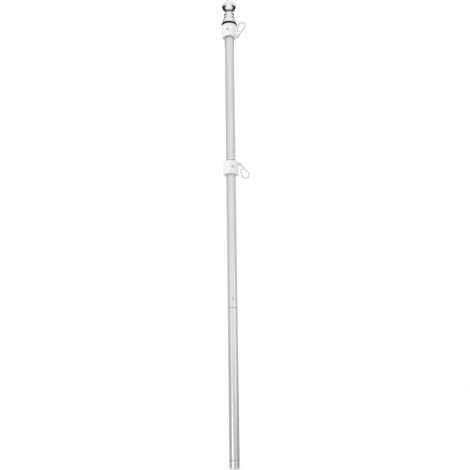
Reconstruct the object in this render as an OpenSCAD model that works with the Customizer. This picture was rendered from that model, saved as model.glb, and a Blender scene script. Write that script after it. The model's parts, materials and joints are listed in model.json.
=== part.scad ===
// Three-section household flagpole with a turned ball finial, two free-spinning
// flag collars and a snap clip on each collar.
// Millimetres, +Z up the pole, origin at the centre of the foot's flat end.
// The front of the pole faces -Y and the clips stand on the +X side.

/* [Pole] */
// Outside diameter of the tube
tube_d = 25.4; // [20:0.1:32]
// Wall of the tube
tube_wall = 0.9; // [0.7:0.05:1.4]
// Height of the lower and the middle section, with the foot ferrule in the lower
section_h = 396.5; // [300:0.5:600]
// Height of the upper section
top_section_h = 394.5; // [300:0.5:600]
// Edge break at the ends of each tube
tube_chamfer = 0.5; // [0.3:0.05:0.6]

/* [Foot] */
// Height of the ferrule that closes the foot
foot_h = 21; // [12:0.5:40]
// Floor of the ferrule
foot_floor = 3; // [2:0.25:8]
// Wall of the ferrule's cup and of its shank in the tube
foot_wall = 1.6; // [1:0.1:3]
// Length of the shank inside the tube
foot_shank_h = 25; // [15:1:50]
// Round on the ferrule's lower edge
foot_round = 1; // [0.5:0.1:2]
// Height of the punched dimple above the ferrule
dimple_rise = 8; // [4:0.5:20]
// Width of the dimple
dimple_d = 5; // [3:0.1:6]
// Depth of the dimple
dimple_depth = 0.6; // [0.3:0.05:0.65]
// Angle of the dimple from the front, positive towards the clips
dimple_angle = -15; // [-60:1:60]

/* [Section joints] */
// Length of each spigot below its joint
spigot_below = 45; // [30:1:80]
// Length of each spigot above its joint
spigot_above = 45; // [35:1:80]
// Wall of the spigot
spigot_wall = 1; // [0.8:0.1:2]
// Height of the snap button above its joint
button_rise = 23.6; // [15:0.1:30]
// Diameter of the snap button
button_d = 6; // [4:0.1:8]
// Height of the button's dome above the tube
button_proud = 1.2; // [0.6:0.1:2]
// Angle of the lower button from the front, positive towards the clips
lower_button_angle = 9; // [-60:1:60]
// Angle of the upper button from the front, positive towards the clips
upper_button_angle = 35; // [-60:1:60]
// Width of the spring leaf behind the button
leaf_w = 7; // [6.5:0.1:9]
// Thickness of the spring leaf
leaf_t = 0.6; // [0.4:0.05:1]
// Length of the leaf's straight legs below the button
leaf_leg = 14; // [10:0.5:20]

/* [Collars] */
// Height of a spinning ring
ring_h = 35.5; // [32:0.5:45]
// Wall of the ring outside its counterbores
ring_wall = 4; // [3:0.1:6]
// Depth of the bushing's flange and of the keeper inside the ring's ends
bushing_inset = 2; // [1.5:0.1:6]
// Rise of the lip at the ring's closed end
lip_out = 1.2; // [0.5:0.1:2]
// Height of the lip
lip_h = 3.5; // [2:0.1:5]
// Edge break of the ring
ring_edge = 0.8; // [0.4:0.1:1.2]
// Width of the moulded grooves round the ring
groove_w = 0.9; // [0.5:0.1:1.5]
// Depth of the moulded grooves
groove_depth = 0.5; // [0.3:0.05:0.8]
// Distance of the first groove from the lug end
groove_near = 13.6; // [13:0.1:15]
// Distance of the second groove from the lip end
groove_far = 6.5; // [6:0.1:9]
// Wall of the fixed bushing
bushing_wall = 1.85; // [1.5:0.05:3]
// Rise of the bushing's flange and of the keeper
flange_rise = 1.1; // [0.8:0.05:2]
// Height of the flange and of the keeper
flange_h = 2.5; // [1.5:0.1:3.2]
// Depth of the keeper's groove in the bushing
keeper_groove = 0.6; // [0.3:0.05:0.8]
// Opening of the split keeper
keeper_gap = 4; // [2:0.25:8]
// Bushing left above the keeper
bushing_tail = 1; // [0.6:0.1:1.5]
// Diameter of the set screw in the bushing
screw_d = 5; // [4:0.1:6]
// Width across flats of the screw's hexagon socket
screw_socket = 2.5; // [1.5:0.1:3]
// Depth of the hexagon socket
screw_socket_depth = 0.9; // [0.5:0.1:1.1]
// Diameter of the access hole through the ring
access_d = 7; // [6.5:0.1:8]
// Width of the broken edge at the access hole's mouth
access_edge = 1; // [0.4:0.1:1.4]
// Angle of the upper screw from the front, positive towards the clips
upper_screw_angle = -12; // [-50:1:40]
// Angle of the lower screw from the front, positive towards the clips
lower_screw_angle = 15; // [-50:1:40]
// Drop of the lower ring's lug end below the upper joint
lower_ring_drop = 4; // [3:0.5:20]

/* [Clips] */
// Distance of the clip's pivot outside the ring
pivot_out = 4.3; // [4:0.1:9]
// Distance of the pivot from the ring's lug end
pivot_in = 5; // [4.5:0.1:10]
// Diameter of the pivot pin
pin_d = 3; // [2.5:0.1:3.5]
// Diameter of the pin's heads
pin_head_d = 4.6; // [4.2:0.1:5.5]
// Height of the pin's heads
pin_head_h = 0.8; // [0.5:0.1:1.5]
// Diameter of the ears and of the clip's eye
ear_d = 6.8; // [6:0.1:7.4]
// Thickness of each ear
ear_t = 2.4; // [1.8:0.1:4]
// Thickness of the clip's eye between the ears
eye_t = 5; // [4.8:0.1:7]
// Bar of the clip's spine
clip_bar = 4.5; // [3.6:0.1:4.5]
// Bar of the clip's springy tongue
tongue_bar = 3.6; // [2.6:0.1:4]
// Swell of the bow's bar over the spine, on the radius
bow_swell = 0.15; // [0.1:0.05:0.2]
// Radius of the bow, to the middle of its bar
bow_r = 9.5; // [8:0.25:10]
// Distance from the pivot to the centre of the bow
bow_reach = 34; // [32:0.5:38]
// Slant of the tongue to the line from the pivot to the bow's centre
tongue_slant = 8; // [6:1:10]
// Distance from the pivot to the nose bar
nose_rise = 15.5; // [14:0.25:16.5]
// Reach of the nose to the pole's side of the line from pivot to bow
nose_reach = 6.5; // [6:0.1:6.6]
// Bar of the nose
nose_bar = 3.4; // [2.6:0.1:3.5]
// Diameter of the knob at the nose's tip
nose_knob = 4.4; // [3.8:0.1:4.4]
// Slot between the tongue's tip and the knob
tongue_slot = 1; // [0.6:0.1:2]
// Lean of the upper clip away from the pole
upper_lean = 19; // [19:1:60]
// Lean of the lower clip away from the pole
lower_lean = 26; // [19:1:60]

/* [Finial] */
// Height of the black washer on the tube's end
washer_h = 6; // [4:0.1:8]
// Diameter of the washer
washer_d = 43; // [40:0.1:43.6]
// Round on the washer's edges
washer_round = 0.7; // [0.5:0.1:1.8]
// Diameter of the base's rim
base_d = 35; // [33:0.1:38]
// Height of the rim
base_rim_h = 14; // [10:0.1:18]
// Round on the rim's upper edge
base_round = 2.8; // [1:0.1:3.5]
// Length of the base's plug below the rim
plug_h = 30; // [15:1:60]
// Diameter of the fillets that part the rim and the beads
fillet_d = 25; // [22:0.1:26]
// Height of each fillet
fillet_h = 1.4; // [0.8:0.1:2]
// Diameter of the lower bead
lower_bead_d = 29.6; // [28:0.1:32]
// Diameter of the upper bead
upper_bead_d = 28.2; // [27:0.1:31]
// Height of each bead
bead_h = 8; // [6:0.1:10]
// Smallest diameter of the neck
neck_d = 23.2; // [20:0.1:24]
// Height of the neck from the bead to the ball
neck_h = 6.8; // [5:0.1:10]
// Diameter of the neck's ends
neck_end_d = 24.6; // [24.2:0.1:26]
// Diameter of the ball
ball_d = 38.8; // [36:0.1:46]
// Wall of the hollow ball
ball_wall = 1.6; // [1:0.1:3]
// Bore through the base and the neck
finial_bore_d = 17; // [12:0.5:18]

/* [Clearances] */
// Sliding fit between pieces that nest, on the radius
slide_fit = 0.05; // [0.02:0.01:0.1]
// Running gap of the spinning rings, all round and at the ends
run_gap = 0.3; // [0.25:0.01:0.4]
// Gap between the upper ring and the washer
washer_gap = 0.5; // [0.4:0.1:1]
// Side gap between the clip's eye and the ears
eye_gap = 0.3; // [0.2:0.01:0.5]
// Running fit of the clip on its pin, on the radius
pin_run = 0.06; // [0.03:0.01:0.1]

/* [Hidden] */
$fn = 96;

metal = "silver";
plastic = "white";
steel = "gray";
chrome = "lightgray";
rubber = "black";

// Margin by which cutting shapes run past a face
cut = 1;

tube_r = tube_d / 2;
bore_r = tube_r - tube_wall;
joint_1 = section_h;
joint_2 = 2 * section_h;
tube_top = joint_2 + top_section_h;

// The nested radii of a collar, from the tube outwards
journal_r = tube_r + slide_fit + bushing_wall;
flange_r = journal_r + flange_rise;
rib_r = journal_r + run_gap;
counterbore_r = flange_r + run_gap;
ring_r = counterbore_r + ring_wall;
lip_r = ring_r + lip_out;
keeper_seat_r = journal_r - keeper_groove;

// The heights of a collar, from the ring's lug end
rib_lo = bushing_inset + flange_h + run_gap;
rib_hi = ring_h - rib_lo;
keeper_lo = rib_hi + run_gap;
bushing_hi = keeper_lo + flange_h + bushing_tail;
screw_z = ring_h / 2;
upper_ring_z = tube_top - washer_gap - ring_h;
lower_ring_z = joint_2 - lower_ring_drop;

// The clip's pivot in a collar's own frame, and the spread of its bars
pivot_x = ring_r + pivot_out;
bow_spread = asin(bow_r / bow_reach);
spine_len = bow_reach * cos(bow_spread);
tongue_drop = bow_reach - nose_rise - nose_knob / 2 - tongue_slot - bow_r * sin(tongue_slant);
tongue_len = tongue_drop / cos(tongue_slant);
ear_gap = eye_t + 2 * eye_gap;
ear_out = ear_gap / 2 + ear_t;

// Heights of the finial's pieces above the washer
finial_z = tube_top + washer_h;
lower_bead_z = base_rim_h + fillet_h;
upper_bead_z = lower_bead_z + bead_h + fillet_h;
ball_seat_z = upper_bead_z + bead_h + neck_h;
ball_r = ball_d / 2;
ball_z = ball_seat_z + sqrt(pow(ball_r, 2) - pow(neck_end_d / 2, 2));

// Turns what points along +X to an angle measured from the front
module facing(angle) {
    rotate([0, 0, angle - 90]) children();
}

// Places a collar: the upper one stands on its lug end, the lower one hangs from it
module at_upper_collar() {
    translate([0, 0, upper_ring_z]) children();
}

module at_lower_collar() {
    translate([0, 0, lower_ring_z]) rotate([180, 0, 0]) children();
}

// A tube section between two heights, with both ends broken
module tube(low, high) {
    rotate_extrude()
        polygon([
            [bore_r, low],
            [tube_r - tube_chamfer, low],
            [tube_r, low + tube_chamfer],
            [tube_r, high - tube_chamfer],
            [tube_r - tube_chamfer, high],
            [bore_r, high],
        ]);
}

// The hole through tube and spigot that a snap button stands in
module button_hole(angle, height) {
    translate([0, 0, height]) facing(angle) rotate([0, 90, 0])
        cylinder(d = button_d + 2 * slide_fit, h = tube_r + cut);
}

module foot_ferrule() {
    shank_r = bore_r - slide_fit;
    color(metal) rotate_extrude() difference() {
        union() {
            square([tube_r - foot_round, foot_h]);
            translate([0, foot_round])
                square([tube_r, foot_h - foot_round - tube_chamfer]);
            translate([tube_r - foot_round, foot_round])
                intersection() {
                    circle(r = foot_round);
                    translate([0, -foot_round]) square(foot_round);
                }
            square([tube_r - tube_chamfer, foot_h]);
            translate([0, foot_h - cut]) square([shank_r, foot_shank_h + cut]);
        }
        translate([0, foot_floor])
            square([shank_r - foot_wall, foot_h + foot_shank_h - foot_floor + cut]);
    }
}

module lower_tube() {
    dimple_r = (pow(dimple_d / 2, 2) + pow(dimple_depth, 2)) / (2 * dimple_depth);
    color(metal) difference() {
        tube(foot_h, joint_1);
        translate([0, 0, foot_h + dimple_rise]) facing(dimple_angle)
            translate([tube_r + dimple_r - dimple_depth, 0, 0]) sphere(r = dimple_r);
    }
}

module middle_tube() {
    color(metal) difference() {
        tube(joint_1, joint_2);
        button_hole(lower_button_angle, joint_1 + button_rise);
    }
}

module upper_tube() {
    color(metal) difference() {
        tube(joint_2, tube_top);
        button_hole(upper_button_angle, joint_2 + button_rise);
    }
}

// The inner sleeve that joins two sections
module spigot(joint, angle) {
    color(steel) difference() {
        translate([0, 0, joint - spigot_below])
            cylinder(r = bore_r - slide_fit, h = spigot_below + spigot_above);
        translate([0, 0, joint - spigot_below - cut])
            cylinder(
                r = bore_r - slide_fit - spigot_wall,
                h = spigot_below + spigot_above + 2 * cut
            );
        button_hole(angle, joint + button_rise);
    }
}

// A domed button on a U-shaped spring leaf that bears on the spigot's wall
module snap_button(joint, angle) {
    spigot_bore_r = bore_r - slide_fit - spigot_wall;
    leaf_x = sqrt(pow(spigot_bore_r, 2) - pow(leaf_w / 2, 2)) - slide_fit;
    dome_r = (pow(button_d / 2, 2) + pow(button_proud, 2)) / (2 * button_proud);
    color(steel) translate([0, 0, joint + button_rise]) facing(angle) {
        rotate([90, 0, 0]) linear_extrude(leaf_w, center = true) {
            difference() {
                translate([0, -leaf_leg]) circle(r = leaf_x);
                translate([0, -leaf_leg]) circle(r = leaf_x - leaf_t);
                translate([-leaf_x - cut, -leaf_leg]) square(2 * (leaf_x + cut));
            }
            for (side = [-1, 1])
                translate([side * (leaf_x - leaf_t / 2), (button_d / 2 + cut - leaf_leg) / 2])
                    square([leaf_t, leaf_leg + button_d / 2 + cut], center = true);
        }
        rotate([0, 90, 0]) rotate_extrude() intersection() {
            translate([0, leaf_x - leaf_t / 2]) square([button_d / 2, tube_r]);
            translate([0, tube_r + button_proud - dome_r]) circle(r = dome_r);
        }
    }
}

module lower_spigot() {
    spigot(joint_1, lower_button_angle);
}

module upper_spigot() {
    spigot(joint_2, upper_button_angle);
}

module lower_snap_button() {
    snap_button(joint_1, lower_button_angle);
}

module upper_snap_button() {
    snap_button(joint_2, upper_button_angle);
}

// The fixed sleeve that a ring spins on, with a flange below the ring's rib
module bushing(screw_angle) {
    color(plastic) difference() {
        rotate_extrude()
            polygon([
                [tube_r + slide_fit, bushing_inset],
                [flange_r, bushing_inset],
                [flange_r, bushing_inset + flange_h],
                [journal_r, bushing_inset + flange_h],
                [journal_r, keeper_lo],
                [keeper_seat_r, keeper_lo],
                [keeper_seat_r, keeper_lo + flange_h],
                [journal_r, keeper_lo + flange_h],
                [journal_r, bushing_hi],
                [tube_r + slide_fit, bushing_hi],
            ]);
        translate([0, 0, screw_z]) facing(screw_angle) rotate([0, 90, 0])
            cylinder(d = screw_d + 2 * slide_fit, h = journal_r + cut);
    }
}

// The split ring that holds the spinning ring on its bushing
module keeper() {
    color(plastic) difference() {
        translate([0, 0, keeper_lo]) cylinder(r = flange_r, h = flange_h);
        translate([0, 0, keeper_lo - cut])
            cylinder(r = keeper_seat_r + slide_fit, h = flange_h + 2 * cut);
        translate([-flange_r - cut, -keeper_gap / 2, keeper_lo - cut])
            cube([flange_r, keeper_gap, flange_h + 2 * cut]);
    }
}

// The nylon set screw that holds the bushing on the tube without marking it
module set_screw(screw_angle) {
    screw_in = tube_r + slide_fit;
    screw_out = journal_r - slide_fit;
    color(plastic) translate([0, 0, screw_z]) facing(screw_angle) rotate([0, 90, 0])
        difference() {
            translate([0, 0, screw_in]) cylinder(d = screw_d, h = screw_out - screw_in);
            translate([0, 0, screw_out - screw_socket_depth])
                cylinder(d = screw_socket / cos(30), h = screw_socket_depth + cut, $fn = 6);
        }
}

// The spinning ring: a lipped, grooved shell with an inner rib, an access hole
// for the set screw and two ears for the clip
module ring(screw_angle) {
    half = groove_w / 2;
    far = ring_h - groove_far;
    color(plastic) difference() {
        union() {
            rotate_extrude()
                polygon([
                    [counterbore_r, 0],
                    [ring_r - ring_edge, 0],
                    [ring_r, ring_edge],
                    [ring_r, groove_near - half],
                    [ring_r - groove_depth, groove_near],
                    [ring_r, groove_near + half],
                    [ring_r, far - half],
                    [ring_r - groove_depth, far],
                    [ring_r, far + half],
                    [ring_r, ring_h - lip_h - lip_out],
                    [lip_r, ring_h - lip_h],
                    [lip_r, ring_h - ring_edge],
                    [lip_r - ring_edge, ring_h],
                    [counterbore_r, ring_h],
                    [counterbore_r, rib_hi],
                    [rib_r, rib_hi],
                    [rib_r, rib_lo],
                    [counterbore_r, rib_lo],
                ]);
            for (side = [-1, 1])
                translate([0, side * (ear_gap + ear_t) / 2, pivot_in]) ear();
        }
        translate([0, 0, screw_z]) facing(screw_angle) rotate([0, 90, 0]) {
            cylinder(d = access_d, h = lip_r + cut);
            translate([0, 0, ring_r - access_edge])
                cylinder(d1 = access_d, d2 = access_d + 4 * access_edge, h = 2 * access_edge);
        }
        translate([pivot_x, 0, pivot_in]) rotate([90, 0, 0])
            cylinder(d = pin_d + 2 * slide_fit, h = 2 * (ear_out + cut), center = true);
    }
}

// One ear, from inside the ring's wall to its round end about the pivot
module ear() {
    ear_in = counterbore_r + ring_wall / 2;
    rotate([90, 0, 0]) linear_extrude(ear_t, center = true) {
        translate([ear_in, -ear_d / 2]) square([pivot_x - ear_in, ear_d]);
        translate([pivot_x, 0]) circle(d = ear_d);
    }
}

// The pivot pin with a rivet head outside each ear
module clip_pin() {
    color(steel) translate([pivot_x, 0, pivot_in]) rotate([90, 0, 0]) {
        cylinder(d = pin_d, h = 2 * ear_out, center = true);
        for (side = [-1, 1])
            translate([0, 0, side * (ear_out + pin_head_h / 2)])
                cylinder(d = pin_head_d, h = pin_head_h, center = true);
    }
}

// A snap clip of round bar: a slanting spine from the eye to the bow, a nose bar
// with a knob, and a thinner tongue from the bow that stops just short of the knob
module clip(lean) {
    nose_root = nose_rise * tan(bow_spread);
    color(plastic) translate([pivot_x, 0, pivot_in]) rotate([0, lean, 0]) difference() {
        union() {
            rotate([90, 0, 0]) cylinder(d = ear_d, h = eye_t, center = true);
            rotate([0, bow_spread, 0]) cylinder(d = clip_bar, h = spine_len + cut);
            translate([0, 0, bow_reach]) rotate([90, 0, 0]) rotate([0, 0, -bow_spread])
                rotate_extrude(angle = 180 + bow_spread + tongue_slant)
                    translate([bow_r, 0]) circle(d = clip_bar + 2 * bow_swell);
            translate([0, 0, bow_reach]) rotate([0, -tongue_slant, 0])
                translate([-bow_r, 0, -tongue_len])
                    cylinder(d = tongue_bar, h = tongue_len + cut);
            translate([nose_root, 0, nose_rise]) rotate([0, -90, 0])
                cylinder(d = nose_bar, h = nose_root + nose_reach);
            translate([-nose_reach, 0, nose_rise]) sphere(d = nose_knob);
        }
        rotate([90, 0, 0])
            cylinder(d = pin_d + 2 * pin_run, h = eye_t + 2 * cut, center = true);
    }
}

module lower_bushing() {
    at_lower_collar() bushing(180 - lower_screw_angle);
}

module upper_bushing() {
    at_upper_collar() bushing(upper_screw_angle);
}

module lower_keeper() {
    at_lower_collar() keeper();
}

module upper_keeper() {
    at_upper_collar() keeper();
}

module lower_set_screw() {
    at_lower_collar() set_screw(180 - lower_screw_angle);
}

module upper_set_screw() {
    at_upper_collar() set_screw(upper_screw_angle);
}

module lower_ring() {
    at_lower_collar() ring(180 - lower_screw_angle);
}

module upper_ring() {
    at_upper_collar() ring(upper_screw_angle);
}

module lower_clip_pin() {
    at_lower_collar() clip_pin();
}

module upper_clip_pin() {
    at_upper_collar() clip_pin();
}

module lower_clip() {
    at_lower_collar() clip(lower_lean);
}

module upper_clip() {
    at_upper_collar() clip(upper_lean);
}

// Outline of a half-round bead, filled to the axis
module bead_outline(outer_d, height) {
    round_r = height / 2;
    square([outer_d / 2 - round_r, height]);
    translate([outer_d / 2 - round_r, round_r]) intersection() {
        circle(r = round_r);
        translate([0, -round_r]) square([round_r, height]);
    }
}

// The black washer between the tube's end and the base, with rounded edges
module finial_washer() {
    core_r = washer_d / 2 - washer_round;
    color(rubber) translate([0, 0, tube_top]) rotate_extrude() difference() {
        union() {
            square([core_r, washer_h]);
            translate([0, washer_round])
                square([washer_d / 2, washer_h - 2 * washer_round]);
            for (edge = [washer_round, washer_h - washer_round])
                translate([core_r, edge]) circle(r = washer_round);
        }
        translate([0, -cut]) square([bore_r, washer_h + 2 * cut]);
    }
}

// The turned base: a plug for the tube, a rim with a rounded shoulder and a bead
module finial_base() {
    rim_r = base_d / 2;
    color(chrome) translate([0, 0, finial_z]) rotate_extrude() difference() {
        union() {
            translate([0, -plug_h]) square([bore_r - slide_fit, plug_h + cut]);
            square([rim_r, base_rim_h - base_round]);
            square([rim_r - base_round, base_rim_h]);
            translate([rim_r - base_round, base_rim_h - base_round]) intersection() {
                circle(r = base_round);
                square(base_round);
            }
            square([fillet_d / 2, upper_bead_z]);
            translate([0, lower_bead_z]) bead_outline(lower_bead_d, bead_h);
        }
        translate([0, -plug_h - cut])
            square([finial_bore_d / 2, plug_h + upper_bead_z + 2 * cut]);
    }
}

// The upper bead and the waisted neck under the ball
module finial_neck() {
    end_r = neck_end_d / 2;
    waist = (neck_end_d - neck_d) / 2;
    waist_r = (pow(neck_h / 2, 2) + pow(waist, 2)) / (2 * waist);
    color(chrome) translate([0, 0, finial_z + upper_bead_z]) rotate_extrude() difference() {
        union() {
            bead_outline(upper_bead_d, bead_h);
            difference() {
                translate([0, bead_h / 2]) square([end_r, neck_h + bead_h / 2]);
                translate([end_r - waist + waist_r, bead_h + neck_h / 2])
                    circle(r = waist_r);
            }
        }
        translate([0, -cut]) square([finial_bore_d / 2, bead_h + neck_h + 2 * cut]);
    }
}

// The hollow ball, cut flat where it seats on the neck
module finial_ball() {
    color(chrome) translate([0, 0, finial_z]) intersection() {
        translate([0, 0, ball_z]) difference() {
            sphere(r = ball_r);
            sphere(r = ball_r - ball_wall);
        }
        translate([0, 0, ball_seat_z]) cylinder(r = ball_r + cut, h = ball_d + cut);
    }
}

foot_ferrule();
lower_tube();
middle_tube();
upper_tube();
lower_spigot();
upper_spigot();
lower_snap_button();
upper_snap_button();
lower_bushing();
upper_bushing();
lower_keeper();
upper_keeper();
lower_set_screw();
upper_set_screw();
lower_ring();
upper_ring();
lower_clip_pin();
upper_clip_pin();
lower_clip();
upper_clip();
finial_washer();
finial_base();
finial_neck();
finial_ball();
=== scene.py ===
"""Looks of a three-section household flagpole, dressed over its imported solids."""
import json
import math

import bmesh
import bpy
from bpy.props import FloatProperty, FloatVectorProperty, IntProperty, PointerProperty
from bpy.types import Operator, Panel, PropertyGroup
from mathutils import Matrix, Vector


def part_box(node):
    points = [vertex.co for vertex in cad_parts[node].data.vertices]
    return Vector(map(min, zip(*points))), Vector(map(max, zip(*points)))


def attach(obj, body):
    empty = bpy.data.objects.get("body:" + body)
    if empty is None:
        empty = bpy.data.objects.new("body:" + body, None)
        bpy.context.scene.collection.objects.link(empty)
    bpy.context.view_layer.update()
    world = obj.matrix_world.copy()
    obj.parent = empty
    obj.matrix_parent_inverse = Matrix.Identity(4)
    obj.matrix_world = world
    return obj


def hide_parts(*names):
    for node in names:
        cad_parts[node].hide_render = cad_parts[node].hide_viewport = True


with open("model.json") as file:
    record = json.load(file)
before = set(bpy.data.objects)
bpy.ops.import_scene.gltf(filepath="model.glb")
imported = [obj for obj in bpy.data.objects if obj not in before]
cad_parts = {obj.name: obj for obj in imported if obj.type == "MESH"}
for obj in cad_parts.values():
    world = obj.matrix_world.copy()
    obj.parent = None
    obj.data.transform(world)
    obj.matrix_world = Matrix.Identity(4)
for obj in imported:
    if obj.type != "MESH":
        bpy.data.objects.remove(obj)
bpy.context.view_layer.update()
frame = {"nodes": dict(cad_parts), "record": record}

bl_info = {
    "name": "Flagpole Looks",
    "version": (1, 0, 0),
    "blender": (4, 5, 0),
    "location": "View3D > Sidebar > Flagpole",
    "description": "Finishes, fine pieces and studio for a household flagpole",
    "category": "Object",
}

MM = 0.001

# The picture is square and this many pixels wide
PICTURE_PX = 470
# Faces round a turned or moulded piece
TURNED_FACES = 192
# Room between a plug or shank and the tube that it sits in
PLUG_FIT = 0.05 * MM


def low(node, axis):
    """Lowest coordinate of a solid along an axis, in metres."""
    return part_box(node)[0][axis]


def high(node, axis):
    """Highest coordinate of a solid along an axis, in metres."""
    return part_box(node)[1][axis]


def linear(hex_colour):
    """Turn an sRGB hex colour into a linear RGB tuple."""
    channels = [int(hex_colour[i:i + 2], 16) / 255 for i in (0, 2, 4)]
    return tuple(
        c / 12.92 if c <= 0.04045 else ((c + 0.055) / 1.055) ** 2.4
        for c in channels
    )


def length(name, description, mm):
    """A length that a user may change, given here in millimetres."""
    return FloatProperty(
        name=name, description=description, default=mm * MM, unit='LENGTH', precision=5)


def angle(name, description, degrees):
    """An angle that a user may change."""
    return FloatProperty(
        name=name, description=description, default=math.radians(degrees), subtype='ANGLE')


def colour(name, description, hex_colour):
    """A colour that a user may change."""
    return FloatVectorProperty(
        name=name, description=description, default=linear(hex_colour), subtype='COLOR')


class FlagpoleFinishes(PropertyGroup):
    """Colours of the flagpole's finishes."""

    aluminium: colour("Aluminium", "Satin anodised tube sections and foot", "DEDEDE")
    # The rolled ends' darker tone is painted shade for the shadow in each joint
    cut_aluminium: colour("Cut aluminium", "Bare cut ends of the sections", "9A9A9A")
    chrome: colour("Chrome", "Plated finial", "EDEDED")
    # The cove's dark tone is painted shade and reflection under the ball
    cove: colour("Cove", "Dulled plate in the cove under the ball", "7E7E7E")
    nylon: colour("Nylon", "Moulded collars and set screws", "F4F4F4")
    # The clips' greyer tone is painted shade on a copy of the collars' nylon
    natural_nylon: colour("Natural nylon", "Moulded clips, without pigment", "E3E3E3")
    steel: colour("Steel", "Snap buttons and pins", "D2D3D3")
    rubber: colour("Rubber", "Washer under the finial", "0E0E0F")


class FlagpolePole(PropertyGroup):
    """Sizes of the tube sections."""

    radius: length("Radius", "Outside radius of the tube", high("middle_tube", 0) / MM)
    wall: length("Wall", "Wall of the tube", 0.9)
    edge: length("Edge", "Rolled edge at the ends of a section", 0.5)
    foot_edge: length("Foot edge", "Round on the foot's lower edge", 1.0)
    dimple_height: length("Dimple height", "Height of the punched dimple", 29.0)
    dimple_radius: length("Dimple radius", "Radius of the punched dimple", 2.5)
    dimple_depth: length("Dimple depth", "Depth of the punched dimple", 0.6)
    dimple_angle: angle("Dimple angle", "Angle of the dimple from the front", -15)
    button_rise: length("Button rise", "Height of a snap button above its joint", 23.6)
    button_radius: length("Button radius", "Radius of a snap button's hole", 3.05)
    button_edge: length("Button edge", "Broken edge of a button's hole", 0.35)
    lower_button_angle: angle("Lower button angle", "Angle from the front", 9)
    upper_button_angle: angle("Upper button angle", "Angle from the front", 35)
    segments: IntProperty(
        name="Segments", description="Faces round a section", default=240)


class FlagpoleCollar(PropertyGroup):
    """Sizes of a spinning collar and its clip."""

    height: length(
        "Height", "Height of a ring", (high("upper_ring", 2) - low("upper_ring", 2)) / MM)
    radius: length("Radius", "Outside radius of a ring", 20.0)
    lip_radius: length("Lip radius", "Radius of the lip", 21.2)
    bore: length("Bore", "Radius of the open ends", 16.0)
    rib_bore: length("Rib bore", "Radius of the inner rib", 14.9)
    rib_height: length("Rib height", "Height of the inner rib", 25.9)
    lip_height: length("Lip height", "Height of the lip", 3.5)
    near_groove: length("Near groove", "Distance of a groove from the lug end", 13.6)
    far_groove: length("Far groove", "Distance of a groove from the lip end", 6.5)
    groove_width: length("Groove width", "Width of a moulded groove", 0.9)
    groove_depth: length("Groove depth", "Depth of a moulded groove", 0.5)
    access_radius: length("Access radius", "Radius of the hole over the screw", 3.5)
    access_edge: length("Access edge", "Broken edge at the hole's mouth", 1.0)
    upper_screw_angle: angle("Upper screw angle", "Angle from the front", -12)
    lower_screw_angle: angle("Lower screw angle", "Angle from the front", 15)
    pivot_out: length("Pivot distance", "Distance of the pivot from the axis", 24.3)
    pivot_in: length("Pivot inset", "Distance of the pivot from the lug end", 5.0)
    ear_radius: length("Ear radius", "Radius of an ear's round end", 3.4)
    ear_thickness: length("Ear thickness", "Thickness of an ear", 2.4)
    ear_gap: length("Ear gap", "Gap between the ears", 5.6)
    pin_radius: length("Pin radius", "Radius of the pivot pin", 1.5)
    head_radius: length("Head radius", "Radius of a pin's rivet head", 2.3)
    head_height: length("Head height", "Height of a pin's rivet head", 0.8)


class FlagpoleClip(PropertyGroup):
    """Sizes of a snap clip."""

    eye_radius: length("Eye radius", "Outside radius of the eye", 3.4)
    eye_bore: length("Eye bore", "Radius of the eye's hole", 1.56)
    eye_width: length("Eye width", "Width of the eye", 5.0)
    bar: length("Bar", "Radius of the spine's bar", 2.25)
    bow_bar: length("Bow bar", "Radius of the bow's bar", 2.4)
    tongue_bar: length("Tongue bar", "Radius of the tongue's bar", 1.8)
    nose_bar: length("Nose bar", "Radius of the nose's bar", 1.7)
    nose_knob: length("Nose knob", "Radius of the knob", 2.2)
    bow_radius: length("Bow radius", "Radius of the bow, to the middle of its bar", 9.5)
    bow_reach: length("Bow reach", "Distance from the pivot to the bow's centre", 34.0)
    nose_rise: length("Nose rise", "Distance from the pivot to the nose", 15.5)
    nose_reach: length("Nose reach", "Reach of the nose towards the pole", 6.5)
    slot: length("Slot", "Slot between the tongue's tip and the knob", 1.0)
    tongue_slant: angle("Tongue slant", "Slant of the tongue", 8)
    upper_lean: angle("Upper lean", "Lean of the upper clip away from the pole", 19)
    lower_lean: angle("Lower lean", "Lean of the lower clip away from the pole", 26)


class FlagpoleFinial(PropertyGroup):
    """Sizes of the turned finial and its washer."""

    washer_radius: length(
        "Washer radius", "Radius of the washer", high("finial_washer", 0) / MM)
    washer_edge: length("Washer edge", "Round on the washer's edges", 0.7)
    rim_radius: length("Rim radius", "Radius of the base's rim", 17.5)
    rim_height: length("Rim height", "Height of the rim", 14.0)
    shoulder: length("Shoulder", "Round on the rim's upper edge", 2.8)
    fillet_radius: length("Fillet radius", "Radius of the fillets between beads", 12.5)
    fillet_height: length("Fillet height", "Height of a fillet", 1.4)
    bead_height: length("Bead height", "Height of a bead", 8.0)
    lower_bead: length("Lower bead", "Radius of the lower bead", 14.8)
    upper_bead: length("Upper bead", "Radius of the upper bead", 14.1)
    neck_radius: length("Neck radius", "Smallest radius of the neck", 11.6)
    neck_end: length("Neck end", "Radius of the neck's ends", 12.3)
    bore: length("Bore", "Radius of the bore through base and neck", 8.5)
    ball_radius: length("Ball radius", "Radius of the ball", 19.4)


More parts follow.
